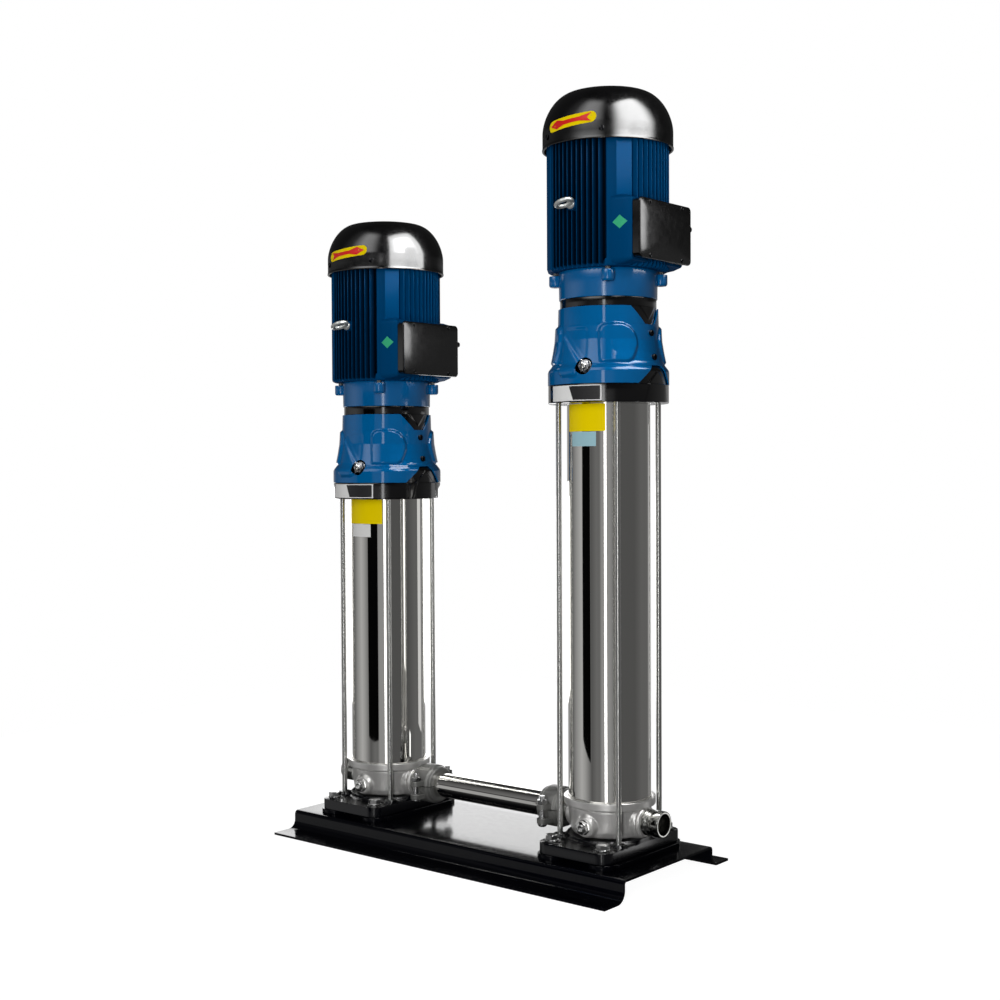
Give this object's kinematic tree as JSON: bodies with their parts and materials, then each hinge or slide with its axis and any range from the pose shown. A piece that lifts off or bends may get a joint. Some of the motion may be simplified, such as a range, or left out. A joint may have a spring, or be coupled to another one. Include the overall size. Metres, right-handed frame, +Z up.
{
  "type": "multistage pump set",
  "caption": "Two vertical multistage centrifugal pumps in series on a bent-sheet base, joined by a clamped pipe, each with a blue finned motor on top.",
  "frame": {"origin": "centre of the base's footprint, on the floor", "axes": "+X along the base, from the suction end to the discharge end; +Y to the back, away from the lifting eyes; +Z up along the pump shafts"},
  "size_m": [0.726, 0.356, 1.2548],
  "materials": {
    "black_gloss": "gloss",
    "grey_steel": "satin",
    "stainless": "brushed",
    "cast_stainless": "bead blasted",
    "grey_cast": "satin",
    "zinc": "zinc plated",
    "rubber": "matte",
    "bright_steel": "bright",
    "carbide": "ground",
    "black_steel": "black oxide",
    "black_plastic": "gloss",
    "blue_paint": "gloss",
    "core_steel": "laminated, varnished"
  },
  "bodies": {
    "pump_set": {"base_frame": "black_gloss", "foot_plates": "grey_steel", "crossover_pipe": "stainless", "clamp_upper_halves": "grey_cast", "clamp_lower_halves": "grey_cast", "clamp_fasteners": "zinc", "rubber_seals": "rubber", "anchor_fasteners": "zinc", "drain_plugs": "bright_steel", "vent_plugs": "bright_steel", "tie_rods": "zinc", "tie_rod_nuts": "zinc", "stage_chambers": "stainless", "shaft_bushes": "carbide", "seal_seats": "stainless", "motor_bearings": "bright_steel", "flange_bolts": "zinc", "casing_screws": "black_steel", "cable_glands": "black_plastic", "eye_bolts": "bright_steel", "left_foot": "black_gloss", "left_head": "cast_stainless", "left_outer_sleeve": "stainless", "left_motor_stool": "black_gloss", "left_guard_front": "blue_paint", "left_guard_rear": "blue_paint", "left_motor_flange": "blue_paint", "left_stator_housing": "blue_paint", "left_stator_core": "core_steel", "left_end_shield": "blue_paint", "left_fan_cowl": "black_plastic", "left_terminal_box": "black_plastic", "left_terminal_cover": "black_plastic", "right_foot": "black_gloss", "right_head": "cast_stainless", "right_outer_sleeve": "stainless", "right_motor_stool": "black_gloss", "right_guard_front": "blue_paint", "right_guard_rear": "blue_paint", "right_motor_flange": "blue_paint", "right_stator_housing": "blue_paint", "right_stator_core": "core_steel", "right_end_shield": "blue_paint", "right_fan_cowl": "black_plastic", "right_terminal_box": "black_plastic", "right_terminal_cover": "black_plastic"},
    "left_rotor": {"left_pump_shaft": "stainless", "left_impellers": "stainless", "left_seal_ring": "carbide", "left_shaft_coupling": "grey_steel", "left_motor_rotor": "grey_steel", "left_fan": "black_plastic"},
    "left_vent": {"left_vent_screw": "bright_steel"},
    "right_rotor": {"right_pump_shaft": "stainless", "right_impellers": "stainless", "right_seal_ring": "carbide", "right_shaft_coupling": "grey_steel", "right_motor_rotor": "grey_steel", "right_fan": "black_plastic"},
    "right_vent": {"right_vent_screw": "bright_steel"}
  },
  "joints": [
    {"name": "left_rotor_spin", "type": "hinge", "parent": "pump_set", "child": "left_rotor", "pos_m": [-0.2475, 0, 0.6025], "axis": [0, 0, 1], "continuous": true},
    {"name": "right_rotor_spin", "type": "hinge", "parent": "pump_set", "child": "right_rotor", "pos_m": [0.2475, 0, 0.76], "axis": [0, 0, 1], "continuous": true},
    {"name": "left_vent_turn", "type": "hinge", "parent": "pump_set", "child": "left_vent", "pos_m": [-0.23033, -0.08835, 0.6591], "axis": [0.1908, -0.9816, 0], "range_deg": [0, 345]},
    {"name": "right_vent_turn", "type": "hinge", "parent": "pump_set", "child": "right_vent", "pos_m": [0.26467, -0.08835, 0.8166], "axis": [0.1908, -0.9816, 0], "range_deg": [0, 345]}
  ]
}
